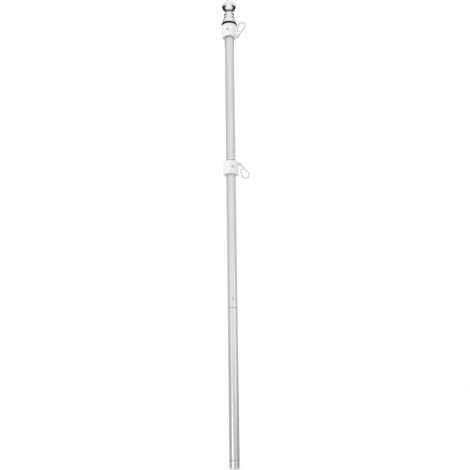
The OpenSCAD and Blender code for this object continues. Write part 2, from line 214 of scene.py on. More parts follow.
class FlagpoleStudio(PropertyGroup):
    """Place of the camera and level of the light."""

    focal_px: FloatProperty(
        name="Focal length", description="Focal length in pixels of the picture",
        default=702.0)
    distance: length("Distance", "Camera's distance from the pole's axis", 1811.0)
    height: length("Height", "Camera's height above the foot", 213.2)
    side: length("Side", "Camera's place to the right of the pole", 8.6)
    pitch: angle("Pitch", "Upward tilt of the camera", 11.72)
    roll: angle("Roll", "Clockwise turn of the camera", 0.77)
    ambient: FloatProperty(
        name="Ambient", description="Level of the white surround on dull surfaces",
        default=0.88)
    floor: colour("Floor", "Plain pale floor", "F4F4F4")
    floor_lift: FloatProperty(
        name="Floor lift", description="Level added to the floor where it is seen",
        default=0.21)
    near_screen: length("Near screen", "Distance of the paper screen about the pole", 200.0)
    near_top: length("Near screen top", "Height of the near screen", 1150.0)
    near_mouth: length("Near screen mouth", "Distance of the near screen's top", 60.0)
    near_taper: length("Near screen taper", "Height over which the near screen draws in", 200.0)
    far_screen: length("Far screen", "Distance of the studio's walls", 2200.0)
    far_top: length("Far screen top", "Height of the studio's walls", 3200.0)


class FlagpoleSettings(PropertyGroup):
    """All settings of the flagpole's looks."""

    finishes: PointerProperty(type=FlagpoleFinishes)
    pole: PointerProperty(type=FlagpolePole)
    collar: PointerProperty(type=FlagpoleCollar)
    clip: PointerProperty(type=FlagpoleClip)
    finial: PointerProperty(type=FlagpoleFinial)
    studio: PointerProperty(type=FlagpoleStudio)


def add_node(tree, kind, settings=None, **links):
    """Add a node, set its properties and plain inputs, and link its other inputs.

    A list links several outputs to one input.
    """
    node = tree.nodes.new(kind)
    for key, value in (settings or {}).items():
        setattr(node, key, value)
    for key, value in links.items():
        socket = next(
            s for s in node.inputs
            if s.enabled and key in (s.name.replace(" ", "_"), s.identifier))
        sources = value if isinstance(value, list) else [value]
        if isinstance(sources[0], bpy.types.NodeSocket):
            for source in sources:
                tree.links.new(source, socket)
        else:
            socket.default_value = value
    return node


def new_material(name):
    """Make an empty node material; return it and its tree."""
    material = bpy.data.materials.new(name)
    material.use_nodes = True
    material.node_tree.nodes.clear()
    return material, material.node_tree


def pattern_material(name):
    """Make an empty node material; return it, its tree and Object coordinates."""
    material, tree = new_material(name)
    return material, tree, add_node(tree, "ShaderNodeTexCoord").outputs["Object"]


def finish_material(material, shader):
    """Link a shader to the material's output."""
    add_node(material.node_tree, "ShaderNodeOutputMaterial", Surface=shader.outputs[0])
    return material


def shade(tone, part=1.0):
    """A finish's colour at a part of its level, with the alpha that a socket takes."""
    return (*(min(1, part * channel) for channel in tone), 1)


# Anodised aluminium: the tube was drawn through a die and etched matt, so faint
# lines run along it and reflections are wide soft bands
def anodised_aluminium(name, tone, roughness):
    material, tree, place = pattern_material(name)
    # Die lines 0.7 mm apart round the tube and 160 mm long
    along = add_node(
        tree, "ShaderNodeMapping", Vector=place,
        Scale=(1 / (0.7 * MM), 1 / (0.7 * MM), 1 / (160 * MM)))
    lines = add_node(
        tree, "ShaderNodeTexNoise", Vector=along.outputs["Vector"], Scale=1.0, Detail=3.0)
    # Cloudy etch about 25 mm across
    cloud = add_node(
        tree, "ShaderNodeTexNoise", Vector=place, Scale=1 / (25 * MM), Detail=2.0)
    tint = add_node(
        tree, "ShaderNodeMix", {"data_type": 'RGBA'}, Factor=lines.outputs["Fac"],
        A_Color=shade(tone, 0.97), B_Color=shade(tone, 1.03))
    etch = add_node(
        tree, "ShaderNodeMapRange", Value=cloud.outputs["Fac"],
        To_Min=roughness - 0.03, To_Max=roughness + 0.03)
    relief = add_node(
        tree, "ShaderNodeBump", Height=lines.outputs["Fac"], Strength=0.05, Distance=0.02 * MM)
    return finish_material(material, add_node(
        tree, "ShaderNodeBsdfPrincipled", Base_Color=tint.outputs["Result"], Metallic=1.0,
        Roughness=etch.outputs["Result"], Normal=relief.outputs["Normal"]))


# Joint shade on the rolled ends: a darker, duller finish, painted shade that stands for the shadow
# in each joint, so each joint shows as a thin dull line
def cut_aluminium(name, tone):
    material, tree, place = pattern_material(name)
    # Saw marks about 0.6 mm apart
    marks = add_node(
        tree, "ShaderNodeTexNoise", Vector=place, Scale=1 / (0.6 * MM), Detail=2.0)
    tint = add_node(
        tree, "ShaderNodeMix", {"data_type": 'RGBA'}, Factor=marks.outputs["Fac"],
        A_Color=shade(tone, 0.8), B_Color=shade(tone))
    return finish_material(material, add_node(
        tree, "ShaderNodeBsdfPrincipled", Base_Color=tint.outputs["Result"], Metallic=0.6,
        Roughness=0.6))


# Chrome plate: polished before plating, so it mirrors its surroundings with only
# a trace of the polishing marks that run round it
def chrome_plate(name, tone, dullness=0.0):
    material, tree, place = pattern_material(name)
    # Polishing marks 0.5 mm apart up the piece and some 20 mm long round it
    around = add_node(
        tree, "ShaderNodeMapping", Vector=place,
        Scale=(1 / (20 * MM), 1 / (20 * MM), 1 / (0.5 * MM)))
    marks = add_node(
        tree, "ShaderNodeTexNoise", Vector=around.outputs["Vector"], Scale=1.0, Detail=2.0)
    gloss = add_node(
        tree, "ShaderNodeMapRange", Value=marks.outputs["Fac"], To_Min=0.035 + dullness,
        To_Max=0.1 + dullness)
    return finish_material(material, add_node(
        tree, "ShaderNodeBsdfPrincipled", Base_Color=shade(tone), Metallic=1.0,
        Roughness=gloss.outputs["Result"]))


# Moulded nylon: the mould's fine spark texture gives a soft sheen on a milky white
def moulded_nylon(name, tone):
    material, tree, place = pattern_material(name)
    # Spark texture 0.35 mm across, flow marks about 12 mm across
    grit = add_node(
        tree, "ShaderNodeTexNoise", Vector=place, Scale=1 / (0.35 * MM), Detail=2.0)
    flow = add_node(
        tree, "ShaderNodeTexNoise", Vector=place, Scale=1 / (12 * MM), Detail=1.0)
    tint = add_node(
        tree, "ShaderNodeMix", {"data_type": 'RGBA'}, Factor=flow.outputs["Fac"],
        A_Color=shade(tone, 0.97), B_Color=shade(tone))
    sheen = add_node(
        tree, "ShaderNodeMapRange", Value=grit.outputs["Fac"], To_Min=0.38, To_Max=0.52)
    relief = add_node(
        tree, "ShaderNodeBump", Height=grit.outputs["Fac"], Strength=0.2, Distance=0.03 * MM)
    return finish_material(material, add_node(
        tree, "ShaderNodeBsdfPrincipled", Base_Color=tint.outputs["Result"], IOR=1.53,
        Roughness=sheen.outputs["Result"], Normal=relief.outputs["Normal"]))


# Moulded rubber: matt black with a dusty bloom that lifts it in patches
def moulded_rubber(name, tone):
    material, tree, place = pattern_material(name)
    # Bloom patches about 4 mm across over a 0.3 mm grain
    bloom = add_node(
        tree, "ShaderNodeTexNoise", Vector=place, Scale=1 / (4 * MM), Detail=3.0)
    grain = add_node(
        tree, "ShaderNodeTexNoise", Vector=place, Scale=1 / (0.3 * MM), Detail=1.0)
    tint = add_node(
        tree, "ShaderNodeMix", {"data_type": 'RGBA'}, Factor=bloom.outputs["Fac"],
        A_Color=shade(tone), B_Color=shade(tone, 1.8))
    relief = add_node(
        tree, "ShaderNodeBump", Height=grain.outputs["Fac"], Strength=0.3, Distance=0.05 * MM)
    return finish_material(material, add_node(
        tree, "ShaderNodeBsdfPrincipled", Base_Color=tint.outputs["Result"], Roughness=0.8,
        Specular_IOR_Level=0.25, Normal=relief.outputs["Normal"]))


# Zinc-plated steel: a thin bright deposit on turned or pressed steel, a little cloudy
def zinc_plated_steel(name, tone):
    material, tree, place = pattern_material(name)
    # Clouds of the passivated zinc about 1.5 mm across
    cloud = add_node(
        tree, "ShaderNodeTexNoise", Vector=place, Scale=1 / (1.5 * MM), Detail=3.0)
    tint = add_node(
        tree, "ShaderNodeMix", {"data_type": 'RGBA'}, Factor=cloud.outputs["Fac"],
        A_Color=shade(tone, 0.9), B_Color=shade(tone))
    gloss = add_node(
        tree, "ShaderNodeMapRange", Value=cloud.outputs["Fac"], To_Min=0.26, To_Max=0.4)
    return finish_material(material, add_node(
        tree, "ShaderNodeBsdfPrincipled", Base_Color=tint.outputs["Result"], Metallic=1.0,
        Roughness=gloss.outputs["Result"]))


def finish(name):
    """The material of this name, which the finishes operator made."""
    return bpy.data.materials[name]


def linked(name, data):
    """Make an object and link it to the scene."""
    thing = bpy.data.objects.new(name, data)
    bpy.context.scene.collection.objects.link(thing)
    return thing


def add_piece(name, mesh, body, node):
    """Add a dressed mesh that stands for a CAD node and rides on its body."""
    piece = linked(name, mesh)
    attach(piece, body)
    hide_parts(node)


def smooth_mesh(name, bm, sharp_degrees=35):
    """Close a bmesh into a mesh, smooth but for its sharp edges."""
    bmesh.ops.remove_doubles(bm, verts=bm.verts, dist=0.0001 * MM)
    bmesh.ops.recalc_face_normals(bm, faces=bm.faces)
    for face in bm.faces:
        face.smooth = True
    for edge in bm.edges:
        if len(edge.link_faces) == 2:
            edge.smooth = edge.calc_face_angle(0) < math.radians(sharp_degrees)
    mesh = bpy.data.meshes.new(name)
    bm.to_mesh(mesh)
    bm.free()
    return mesh


def rounded(corners, steps=5):
    """Round the corners of a closed outline, given as (radius, height, round)."""
    outline = []
    for i, (x, y, bend) in enumerate(corners):
        here = Vector((x, y))
        back = Vector(corners[i - 1][:2]) - here
        ahead = Vector(corners[(i + 1) % len(corners)][:2]) - here
        if bend == 0:
            outline.append((x, y))
            continue
        half = back.angle(ahead) / 2
        # Two rounds that share a short side leave a little of it between them
        reach = min(bend / math.tan(half), 0.48 * back.length, 0.48 * ahead.length)
        back.normalize()
        ahead.normalize()
        bend = reach * math.tan(half)
        centre = here + (back + ahead).normalized() * bend / math.sin(half)
        first = here + back * reach - centre
        last = here + ahead * reach - centre
        for k in range(steps + 1):
            spoke = first.lerp(last, k / steps).normalized() * bend
            outline.append(tuple(centre + spoke))
    return outline


def arc(centre_r, centre_z, radius, start, end, steps):
    """Points of an arc in an outline, with angles in degrees from outwards."""
    turns = [math.radians(start + (end - start) * k / steps) for k in range(steps + 1)]
    return [(centre_r + radius * math.cos(t), centre_z + radius * math.sin(t)) for t in turns]


def smooth_step(value, start, end):
    """Rise smoothly from 0 at the start to 1 at the end."""
    t = min(1, max(0, (value - start) / (end - start)))
    return t * t * (3 - 2 * t)


def lathe(bm, outline, segments, offset=None):
    """Turn a closed outline about Z; offset moves a point in or out by its place."""
    columns = []
    for i in range(segments):
        turn = 2 * math.pi * i / segments
        column = []
        for radius, height in outline:
            r = radius + (offset(turn, radius, height) if offset else 0)
            column.append(bm.verts.new((r * math.sin(turn), -r * math.cos(turn), height)))
        columns.append(column)
    count = len(outline)
    for i, column in enumerate(columns):
        beside = columns[(i + 1) % segments]
        for k in range(count):
            above = (k + 1) % count
            if outline[k][0] < 1e-9 and outline[above][0] < 1e-9:
                continue
            bm.faces.new((column[k], beside[k], beside[above], column[above]))


def turned_mesh(name, outline, segments=TURNED_FACES):
    """A mesh turned from a closed outline."""
    bm = bmesh.new()
    lathe(bm, outline, segments)
    return smooth_mesh(name, bm)


def evaluated_mesh(thing, name):
    """Turn an object with its modifiers into a plain mesh and remove the object."""
    graph = bpy.context.evaluated_depsgraph_get()
    mesh = bpy.data.meshes.new_from_object(thing.evaluated_get(graph))
    mesh.name = name
    bpy.data.objects.remove(thing)
    return mesh


class FLAGPOLE_OT_finishes(Operator):
    """Make every finish and give it to the solids that show as they are."""

    bl_idname = "flagpole.finishes"
    bl_label = "Mix the Finishes"

    def execute(self, context):
        tones = context.scene.flagpole.finishes
        made = {
            "pole_aluminium": anodised_aluminium("anodised_aluminium", tones.aluminium, 0.3),
            "small_steel": zinc_plated_steel("zinc_plated_steel", tones.steel),
            "white_nylon": moulded_nylon("moulded_nylon", tones.nylon),
            "finial_chrome": chrome_plate("chrome_plate", tones.chrome),
            "black_rubber": moulded_rubber("moulded_rubber", tones.rubber),
        }
        # The rolled ends take a darker finish: painted shade for the shadow in each joint
        cut_aluminium("cut_aluminium", tones.cut_aluminium)
        # The clips take a greyer copy of the nylon: painted shade for the shade that falls on them
        # beside the ring
        moulded_nylon("natural_nylon", tones.natural_nylon)
        # The cove under the ball takes a darker, rougher plate: painted shade and painted
        # reflection of the ball's dark underside
        chrome_plate("dulled_chrome", tones.cove, 0.25)
        for piece in frame["record"]["subparts"]:
            mesh = frame["nodes"][piece["node"]].data
            mesh.materials.clear()
            mesh.materials.append(made[piece["material_slot"]])
        return {'FINISHED'}


def tube_outline(pole, bottom, top, mark, reach, rows):
    """Outline of a tube's wall with rolled ends and rows about a mark's height."""
    radius, edge = pole.radius, pole.edge
    inner = radius - pole.wall
    return (
        arc(radius - edge, bottom + edge, edge, -90, 0, 4)
        + [(radius, mark - reach + 2 * reach * k / rows) for k in range(rows + 1)]
        + arc(radius - edge, top - edge, edge, 0, 90, 4)
        + [(inner, top), (inner, bottom)])


def mark_cut_ends(mesh, bottom, top, edge):
    """Dress a drawn piece, with the darker finish of painted joint shade on its rolled ends."""
    mesh.materials.append(finish("anodised_aluminium"))
    mesh.materials.append(finish("cut_aluminium"))
    for face in mesh.polygons:
        if not bottom + edge < face.center.z < top - edge:
            face.material_index = 1


def drilled(bm, radius, hole, mouth, height, turn):
    """Drill a hole with a broken edge into a turned wall; take its bmesh, return a new one."""
    wall = linked("wall", smooth_mesh("wall", bm))
    cutter = bmesh.new()
    lathe(cutter, [
        (0, 0), (hole, 0), (hole, radius - mouth),
        (hole + 2 * mouth, radius + mouth), (0, radius + mouth)], segments=48)
    drill = linked("drill", smooth_mesh("drill", cutter))
    aim = Matrix.Rotation(turn, 4, 'Z') @ Matrix.Rotation(math.radians(90), 4, 'X')
    drill.matrix_world = Matrix.Translation((0, 0, height)) @ aim
    cut = wall.modifiers.new("hole", 'BOOLEAN')
    cut.object = drill
    cut.operation = 'DIFFERENCE'
    cut.solver = 'EXACT'
    bpy.context.view_layer.update()
    mesh = evaluated_mesh(wall, "wall")
    bpy.data.objects.remove(drill)
    open_wall = bmesh.new()
    open_wall.from_mesh(mesh)
    bpy.data.meshes.remove(mesh)
    return open_wall


class FLAGPOLE_OT_tubes(Operator):
    """Draw the three sections, with the dimple and the broken edges of the holes."""

    bl_idname = "flagpole.tubes"
    bl_label = "Draw the Tubes"

    def execute(self, context):
        pole = context.scene.flagpole.pole

        def dimple(turn, radius, height):
            across = math.remainder(turn - pole.dimple_angle, 2 * math.pi) * pole.radius
            d = math.hypot(across, height - pole.dimple_height)
            if d > pole.dimple_radius or radius < pole.radius - pole.edge / 2:
                return 0
            return -pole.dimple_depth * (1 - (d / pole.dimple_radius) ** 2) ** 2

        for node, button_angle in (
                ("lower_tube", None), ("middle_tube", pole.lower_button_angle),
                ("upper_tube", pole.upper_button_angle)):
            bottom, top = low(node, 2), high(node, 2)
            bm = bmesh.new()
            if button_angle is None:
                reach, row = 1.5 * pole.dimple_radius, 0.3 * MM
                rows = round(2 * reach / row)
                lathe(bm, tube_outline(pole, bottom, top, pole.dimple_height, reach, rows),
                      pole.segments, dimple)
                mesh = smooth_mesh("drawn_" + node, bm)
            else:
                button, reach = bottom + pole.button_rise, 2 * pole.button_radius
                lathe(bm, tube_outline(pole, bottom, top, button, reach, 1), pole.segments)
                mesh = smooth_mesh("drawn_" + node, drilled(
                    bm, pole.radius, pole.button_radius, pole.button_edge, button, button_angle),
                    sharp_degrees=25)
            mark_cut_ends(mesh, bottom, top, pole.edge)
            add_piece("drawn_" + node, mesh, "pole", node)
        return {'FINISHED'}


class FLAGPOLE_OT_foot(Operator):
    """Turn the ferrule that closes the foot."""

    bl_idname = "flagpole.foot"
    bl_label = "Turn the Foot"

    def execute(self, context):
        pole = context.scene.flagpole.pole
        radius, edge, turn = pole.radius, pole.edge, pole.foot_edge
        top, shank_top = low("lower_tube", 2), high("foot_ferrule", 2)
        shank = radius - pole.wall - PLUG_FIT
        cup_wall, floor = 1.6 * MM, 3 * MM
        cup = shank - cup_wall
        outline = (
            [(0, 0)] + arc(radius - turn, turn, turn, -90, 0, 6)
            + arc(radius - edge, top - edge, edge, 0, 90, 4)
            + [(shank, top), (shank, shank_top), (cup, shank_top), (cup, floor), (0, floor)])
        mesh = turned_mesh("turned_foot", outline, pole.segments)
        mark_cut_ends(mesh, -edge, top, edge)
        add_piece("turned_foot", mesh, "pole", "foot_ferrule")
        return {'FINISHED'}


def ring_outline(collar):
    """Outline of a spinning ring from its lug end, with moulded edges."""
    r, lip, bore, rib = collar.radius, collar.lip_radius, collar.bore, collar.rib_bore
    top, half, deep = collar.height, collar.groove_width / 2, collar.groove_depth
    near, far = collar.near_groove, collar.height - collar.far_groove
    rib_low = (top - collar.rib_height) / 2
    rib_top = rib_low + collar.rib_height
    rise = lip - r
    # Rounds at the ends, the grooves, the bore's mouths and the rib
    edge, soft, mouth, rib_edge = 0.9 * MM, 0.25 * MM, 0.4 * MM, 0.2 * MM
    return rounded([
        (bore, 0, mouth),
        (r, 0, edge),
        (r, near - half, soft), (r - deep, near, soft), (r, near + half, soft),
        (r, far - half, soft), (r - deep, far, soft), (r, far + half, soft),
        (r, top - collar.lip_height - rise, soft),
        (lip, top - collar.lip_height, soft),
        (lip, top, edge),
        (bore, top, mouth),
        (bore, rib_top, 0), (rib, rib_top, rib_edge),
        (rib, rib_low, rib_edge), (bore, rib_low, 0),
    ])


def add_ear(bm, collar, side):
    """Add one ear of the ring, from inside its wall to its round end at the pivot."""
    middle = side * (collar.ear_gap + collar.ear_thickness) / 2
    root, soft = (collar.bore + collar.radius) / 2, 0.45 * MM
    outline = (
        [(root, -collar.ear_radius)]
        + arc(collar.pivot_out, 0, collar.ear_radius, -90, 90, 24)
        + [(root, collar.ear_radius)])
    faces = []
    for y in (middle - collar.ear_thickness / 2, middle + collar.ear_thickness / 2):
        faces.append(bm.faces.new([bm.verts.new((x, y, collar.pivot_in + z)) for x, z in outline]))
    count = len(outline)
    sides = [list(face.verts) for face in faces]
    for k in range(count):
        j = (k + 1) % count
        bm.faces.new((sides[0][k], sides[0][j], sides[1][j], sides[1][k]))
    bmesh.ops.bevel(
        bm, geom=[e for face in faces for e in face.edges], offset=soft, segments=3,
        profile=0.5, affect='EDGES')


def ring_mesh(name, collar, screw_angle):
    """A ring with its access hole cut and its two ears."""
    shell = bmesh.new()
    lathe(shell, ring_outline(collar), TURNED_FACES)
    bm = drilled(
        shell, collar.radius, collar.access_radius, collar.access_edge, collar.height / 2,
        screw_angle)
    for side in (-1, 1):
        add_ear(bm, collar, side)
    return smooth_mesh(name, bm)


def collar_place(which):
    """Place of a collar: the upper one stands on its lug end, the lower one hangs."""
    if which == "upper":
        return Matrix.Translation((0, 0, low("upper_ring", 2)))
    return Matrix.Translation((0, 0, high("lower_ring", 2))) @ Matrix.Rotation(math.pi, 4, 'X')


class FLAGPOLE_OT_collars(Operator):
    """Mould the two spinning rings."""

    bl_idname = "flagpole.collars"
    bl_label = "Mould the Collars"

    def execute(self, context):
        collar = context.scene.flagpole.collar
        for which, screw_angle in (
                ("upper", collar.upper_screw_angle),
                ("lower", math.pi - collar.lower_screw_angle)):
            mesh = ring_mesh(which + "_moulded_ring", collar, screw_angle)
            mesh.transform(collar_place(which))
            mesh.materials.append(finish("moulded_nylon"))
            add_piece(
                which + "_moulded_ring", mesh, which + "_collar", which + "_ring")
        return {'FINISHED'}


def new_tree(name, sizes):
    """Start a geometry node tree with a geometry input, named sizes and a material."""
    tree = bpy.data.node_groups.new(name, "GeometryNodeTree")
    tree.interface.new_socket("Geometry", in_out='INPUT', socket_type='NodeSocketGeometry')
    for size, kind in sizes:
        tree.interface.new_socket(size, in_out='INPUT', socket_type=kind)
    tree.interface.new_socket("Material", in_out='INPUT', socket_type='NodeSocketMaterial')
    tree.interface.new_socket("Geometry", in_out='OUTPUT', socket_type='NodeSocketGeometry')
    return tree, add_node(tree, "NodeGroupInput").outputs


def close_tree(tree, parts, material):
    """End a tree in its joined parts, realised and smooth, with their material."""
    whole = add_node(tree, "GeometryNodeJoinGeometry", Geometry=parts)
    real = add_node(tree, "GeometryNodeRealizeInstances", Geometry=whole.outputs["Geometry"])
    soft = add_node(tree, "GeometryNodeSetShadeSmooth", Geometry=real.outputs["Geometry"])
    dressed = add_node(
        tree, "GeometryNodeSetMaterial", Geometry=soft.outputs["Geometry"], Material=material)
    add_node(tree, "NodeGroupOutput", Geometry=dressed.outputs["Geometry"])
    return tree


def run_tree(thing, tree, name, values):
    """Run a tree on an object with its inputs set, and take the mesh it makes."""
    modifier = thing.modifiers.new(tree.name, 'NODES')
    modifier.node_group = tree
    for item in tree.interface.items_tree:
        if item.in_out == 'INPUT' and item.name in values:
            modifier[item.identifier] = values[item.name]
    return evaluated_mesh(thing, name)


def clip_tree():
    """A bar swept along a path at each point's radius, with a knob on its nose."""
    tree, given = new_tree("clip_bar", [
        ("Bar Sides", 'NodeSocketInt'), ("Knob Radius", 'NodeSocketFloat'),
        ("Knob Place", 'NodeSocketVector')])
    section = add_node(
        tree, "GeometryNodeCurvePrimitiveCircle", Resolution=given["Bar Sides"], Radius=1.0)
    bar = add_node(
        tree, "GeometryNodeCurveToMesh", Curve=given["Geometry"],
        Profile_Curve=section.outputs["Curve"], Fill_Caps=True,
        Scale=add_node(tree, "GeometryNodeInputRadius").outputs["Radius"])
    ball = add_node(
        tree, "GeometryNodeMeshUVSphere", Segments=32, Rings=16, Radius=given["Knob Radius"])
    knob = add_node(
        tree, "GeometryNodeTransform", Geometry=ball.outputs["Mesh"],
        Translation=given["Knob Place"])
    parts = [bar.outputs["Mesh"], knob.outputs["Geometry"]]
    return close_tree(tree, parts, given["Material"])


def rivet_tree():
    """A pin along an edge, with a domed head at each end."""
    tree, given = new_tree("rivet", [
        ("Pin Radius", 'NodeSocketFloat'), ("Head Radius", 'NodeSocketFloat'),
        ("Head Height", 'NodeSocketFloat')])
    section = add_node(
        tree, "GeometryNodeCurvePrimitiveCircle", Resolution=32, Radius=given["Pin Radius"])
    line = add_node(tree, "GeometryNodeMeshToCurve", Mesh=given["Geometry"])
    pin = add_node(
        tree, "GeometryNodeCurveToMesh", Curve=line.outputs["Curve"],
        Profile_Curve=section.outputs["Curve"], Fill_Caps=True)
    ball = add_node(tree, "GeometryNodeMeshUVSphere", Segments=32, Rings=16, Radius=1.0)
    flat = add_node(
        tree, "ShaderNodeCombineXYZ", X=given["Head Radius"], Y=given["Head Height"],
        Z=given["Head Radius"])
    heads = add_node(
        tree, "GeometryNodeInstanceOnPoints", Points=given["Geometry"],
        Instance=ball.outputs["Mesh"], Scale=flat.outputs["Vector"])
    parts = [pin.outputs["Mesh"], heads.outputs["Instances"]]
    return close_tree(tree, parts, given["Material"])


def add_path(curve, points):
    """Add a spline through (place, radius) points to a curve."""
    spline = curve.splines.new('POLY')
    spline.points.add(len(points) - 1)
    for point, (place, radius) in zip(spline.points, points):
        point.co = (*place, 1)
        point.radius = radius


def clip_path(clip):
    """Points of the clip's bar in its own frame: spine, bow and tongue."""
    spine_steps, bow_steps, tongue_steps = 12, 65, 32
    # The spine swells into the bow, the tongue thins from it and its tip is rounded,
    # all but a blunt end
    swell_run, thin_run, tip_run, blunt = 3 * MM, 4 * MM, 1.2 * MM, 0.02
    spread = math.asin(clip.bow_radius / clip.bow_reach)
    run = clip.bow_reach * math.cos(spread)
    root = 1.4 * clip.eye_bore
    points = []
    for k in range(spine_steps + 1):
        t = root + (run - root) * k / spine_steps
        swell = max(0, 1 - (run - t) / swell_run)
        radius = clip.bar + (clip.bow_bar - clip.bar) * swell
        points.append(((t * math.sin(spread), 0, t * math.cos(spread)), radius))
    slant = clip.tongue_slant
    for k in range(1, bow_steps):
        turn = -spread + (math.pi + slant + spread) * k / bow_steps
        points.append((
            (clip.bow_radius * math.cos(turn), 0,
             clip.bow_reach + clip.bow_radius * math.sin(turn)), clip.bow_bar))
    drop = (
        clip.bow_reach - clip.nose_rise - clip.nose_knob - clip.slot
        - clip.bow_radius * math.sin(slant))
    tongue = drop / math.cos(slant)
    start = Vector((-clip.bow_radius * math.cos(slant), 0,
                    clip.bow_reach - clip.bow_radius * math.sin(slant)))
    aim = Vector((math.sin(slant), 0, -math.cos(slant)))
    for k in range(tongue_steps + 1):
        t = tongue * k / tongue_steps
        radius = clip.bow_bar + (clip.tongue_bar - clip.bow_bar) * smooth_step(t, 0, thin_run)
        tip = max(0, 1 - (tongue - t) / tip_run)
        points.append((start + aim * t, radius * math.sqrt(max(blunt, 1 - tip * tip))))
    return points


def clip_mesh(name, clip, tree):
    """A snap clip about its pivot, standing along Z."""
    curve = bpy.data.curves.new(name, 'CURVE')
    curve.dimensions = '3D'
    add_path(curve, clip_path(clip))
    root = clip.nose_rise * clip.bow_radius / math.sqrt(
        clip.bow_reach ** 2 - clip.bow_radius ** 2)
    nose = Vector((-clip.nose_reach, 0, clip.nose_rise))
    add_path(curve, [((root, 0, clip.nose_rise), clip.nose_bar), (nose, clip.nose_bar)])
    mesh = run_tree(linked(name, curve), tree, name, {
        "Bar Sides": 32, "Knob Radius": clip.nose_knob, "Knob Place": nose,
        "Material": finish("natural_nylon")})
    bm = bmesh.new()
    half, edge = clip.eye_width / 2, 0.6 * MM
    lathe(bm, rounded([
        (clip.eye_bore, -half, 0), (clip.eye_radius, -half, edge),
        (clip.eye_radius, half, edge), (clip.eye_bore, half, 0)]), segments=64)
    bmesh.ops.rotate(bm, verts=bm.verts, matrix=Matrix.Rotation(math.radians(90), 3, 'X'))
    bm.from_mesh(mesh)
    whole = smooth_mesh(name, bm)
    whole.materials.append(finish("natural_nylon"))
    return whole


class FLAGPOLE_OT_clips(Operator):
    """Bend the two snap clips and rivet them to their collars."""

    bl_idname = "flagpole.clips"
    bl_label = "Bend the Clips"

    def execute(self, context):
        settings = context.scene.flagpole
        collar, clip = settings.collar, settings.clip
        bar, rivet = clip_tree(), rivet_tree()
        for which, lean in (("upper", clip.upper_lean), ("lower", clip.lower_lean)):
            pivot = collar_place(which) @ Matrix.Translation(
                (collar.pivot_out, 0, collar.pivot_in))
            mesh = clip_mesh(which + "_snap_clip", clip, bar)
            mesh.transform(pivot @ Matrix.Rotation(lean, 4, 'Y'))
            add_piece(
                which + "_snap_clip", mesh, which + "_flag_clip", which + "_clip")
            reach = collar.ear_gap / 2 + collar.ear_thickness
            ends = bpy.data.meshes.new(which + "_rivet")
            ends.from_pydata([(0, -reach, 0), (0, reach, 0)], [(0, 1)], [])
            mesh = run_tree(linked(which + "_rivet", ends), rivet, which + "_rivet", {
                "Pin Radius": collar.pin_radius, "Head Radius": collar.head_radius,
                "Head Height": collar.head_height, "Material": finish("zinc_plated_steel")})
            mesh.transform(pivot)
            add_piece(
                which + "_rivet", mesh, which + "_collar", which + "_clip_pin")
        return {'FINISHED'}


class FLAGPOLE_OT_finial(Operator):
    """Turn the finial's pieces and mould the washer under them."""

    bl_idname = "flagpole.finial"
    bl_label = "Turn the Finial"

    def execute(self, context):
        settings = context.scene.flagpole
        finial, pole = settings.finial, settings.pole
        plug = pole.radius - pole.wall - PLUG_FIT
        washer_low, rim_low = low("finial_washer", 2), high("finial_washer", 2)
        neck_low, seat = low("finial_neck", 2), low("finial_ball", 2)
        bead_r = finial.bead_height / 2
        fine = 0.4 * MM

        washer = rounded([
            (plug + PLUG_FIT, washer_low, 0),
            (finial.washer_radius, washer_low, finial.washer_edge),
            (finial.washer_radius, rim_low, finial.washer_edge),
            (plug + PLUG_FIT, rim_low, 0)], steps=8)

        bead_low = rim_low + finial.rim_height + finial.fillet_height
        bead_in = finial.lower_bead - bead_r
        bead_turn = math.degrees(math.acos((finial.fillet_radius - bead_in) / bead_r))
        base = (
            rounded([
                (finial.bore, low("finial_base", 2), 0), (plug, low("finial_base", 2), fine),
                (plug, rim_low, 0), (finial.rim_radius, rim_low, fine),
                (finial.rim_radius, rim_low + finial.rim_height, finial.shoulder),
                (finial.fillet_radius, rim_low + finial.rim_height, fine),
                (finial.fillet_radius, bead_low, 0)], steps=10)[:-1]
            + arc(bead_in, bead_low + bead_r, bead_r, -bead_turn, bead_turn, 32)
            + [(finial.fillet_radius, neck_low), (finial.bore, neck_low)])

        neck_root = neck_low + finial.bead_height
        bead_in = finial.upper_bead - bead_r
        bead_turn = math.degrees(math.acos((finial.neck_end - bead_in) / bead_r))
        half = (seat - neck_root) / 2
        waist = finial.neck_end - finial.neck_radius
        sweep = (half ** 2 + waist ** 2) / (2 * waist)
        swing = math.degrees(math.asin(half / sweep))
        neck = (
            [(finial.bore, neck_low)]
            + arc(bead_in, neck_low + bead_r, bead_r, -90, bead_turn, 32)
            + arc(finial.neck_radius + sweep, neck_root + half, sweep,
                  180 + swing, 180 - swing, 20)
            + [(finial.bore, seat)])

        rise = math.sqrt(finial.ball_radius ** 2 - finial.neck_end ** 2)
        tilt = math.degrees(math.asin(rise / finial.ball_radius))
        ball = [(0, seat)] + arc(0, seat + rise, finial.ball_radius, -tilt, 90, 96)
        ball[-1] = (0, seat + rise + finial.ball_radius)

        for name, outline, node, slot, finish_name in (
                ("rubber_washer", washer, "finial_washer", "black_rubber", "moulded_rubber"),
                ("turned_base", base, "finial_base", "finial_chrome", "chrome_plate"),
                ("turned_neck", neck, "finial_neck", "finial_chrome", "chrome_plate"),
                ("spun_ball", ball, "finial_ball", "finial_chrome", "chrome_plate")):
            mesh = turned_mesh(name, outline)
            mesh.materials.append(finish(finish_name))
            # The neck's cove, above its bead, takes the darker plate: painted shade
            if name == "turned_neck":
                mesh.materials.append(finish("dulled_chrome"))
                for face in mesh.polygons:
                    face.material_index = int(face.center.z > neck_root)
            add_piece(name, mesh, "pole", node)
        return {'FINISHED'}


def camera_matrix(studio):
    """Camera in front of the pole, looking along +Y, pitched up and rolled."""
    forward = Vector((0, math.cos(studio.pitch), math.sin(studio.pitch)))
    level = Vector((1, 0, 0))
    upright = level.cross(forward)
    right = level * math.cos(studio.roll) - upright * math.sin(studio.roll)
    up = upright * math.cos(studio.roll) + level * math.sin(studio.roll)
    axes = Matrix((right, up, -forward)).transposed().to_4x4()
    return Matrix.Translation((studio.side, -studio.distance, studio.height)) @ axes


